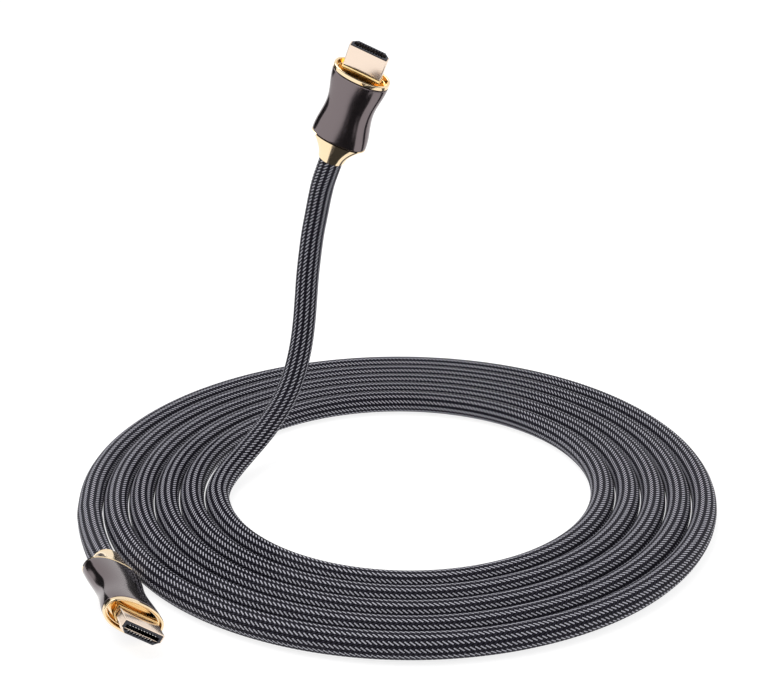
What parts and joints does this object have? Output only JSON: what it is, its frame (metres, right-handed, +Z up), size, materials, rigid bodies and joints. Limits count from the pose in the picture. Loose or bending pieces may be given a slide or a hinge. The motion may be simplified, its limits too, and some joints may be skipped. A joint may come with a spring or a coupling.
{
  "type": "hdmi cable",
  "caption": "Braided audio-video cable laid in a flat coil, with a waisted metal plug on each end: one lying beside the coil, the other on an upright lead.",
  "frame": {"origin": "middle of the whole footprint, on the surface that the coil lies on", "axes": "+Z up, +X along the footprint's slightly longer side, +Y away from the side where the loose plug lies"},
  "size_m": [0.2238, 0.2194, 0.1577],
  "materials": {
    "braid": "woven nylon braid, black with fine grey flecks",
    "gunmetal": "polished gunmetal plating",
    "polished_gold": "mirror-polished pale gold plating",
    "shell_gold": "smooth gold-plated pressed steel",
    "contact_metal": "plated, bright",
    "black_plastic": "moulded, fine satin"
  },
  "bodies": {
    "root": {"cable_coil": "braid", "cable_lead_a": "braid", "cable_lead_b": "braid", "ferrule_a": "polished_gold", "housing_a": "gunmetal", "bezel_a": "polished_gold", "connector_shell_a": "shell_gold", "insulator_a": "black_plastic", "contact_a_upper_1": "contact_metal", "contact_a_upper_2": "contact_metal", "contact_a_upper_3": "contact_metal", "contact_a_upper_4": "contact_metal", "contact_a_upper_5": "contact_metal", "contact_a_upper_6": "contact_metal", "contact_a_upper_7": "contact_metal", "contact_a_upper_8": "contact_metal", "contact_a_upper_9": "contact_metal", "contact_a_upper_10": "contact_metal", "contact_a_lower_1": "contact_metal", "contact_a_lower_2": "contact_metal", "contact_a_lower_3": "contact_metal", "contact_a_lower_4": "contact_metal", "contact_a_lower_5": "contact_metal", "contact_a_lower_6": "contact_metal", "contact_a_lower_7": "contact_metal", "contact_a_lower_8": "contact_metal", "contact_a_lower_9": "contact_metal", "ferrule_b": "polished_gold", "housing_b": "gunmetal", "bezel_b": "polished_gold", "connector_shell_b": "shell_gold", "insulator_b": "black_plastic", "contact_b_upper_1": "contact_metal", "contact_b_upper_2": "contact_metal", "contact_b_upper_3": "contact_metal", "contact_b_upper_4": "contact_metal", "contact_b_upper_5": "contact_metal", "contact_b_upper_6": "contact_metal", "contact_b_upper_7": "contact_metal", "contact_b_upper_8": "contact_metal", "contact_b_upper_9": "contact_metal", "contact_b_upper_10": "contact_metal", "contact_b_lower_1": "contact_metal", "contact_b_lower_2": "contact_metal", "contact_b_lower_3": "contact_metal", "contact_b_lower_4": "contact_metal", "contact_b_lower_5": "contact_metal", "contact_b_lower_6": "contact_metal", "contact_b_lower_7": "contact_metal", "contact_b_lower_8": "contact_metal", "contact_b_lower_9": "contact_metal"}
  },
  "joints": []
}
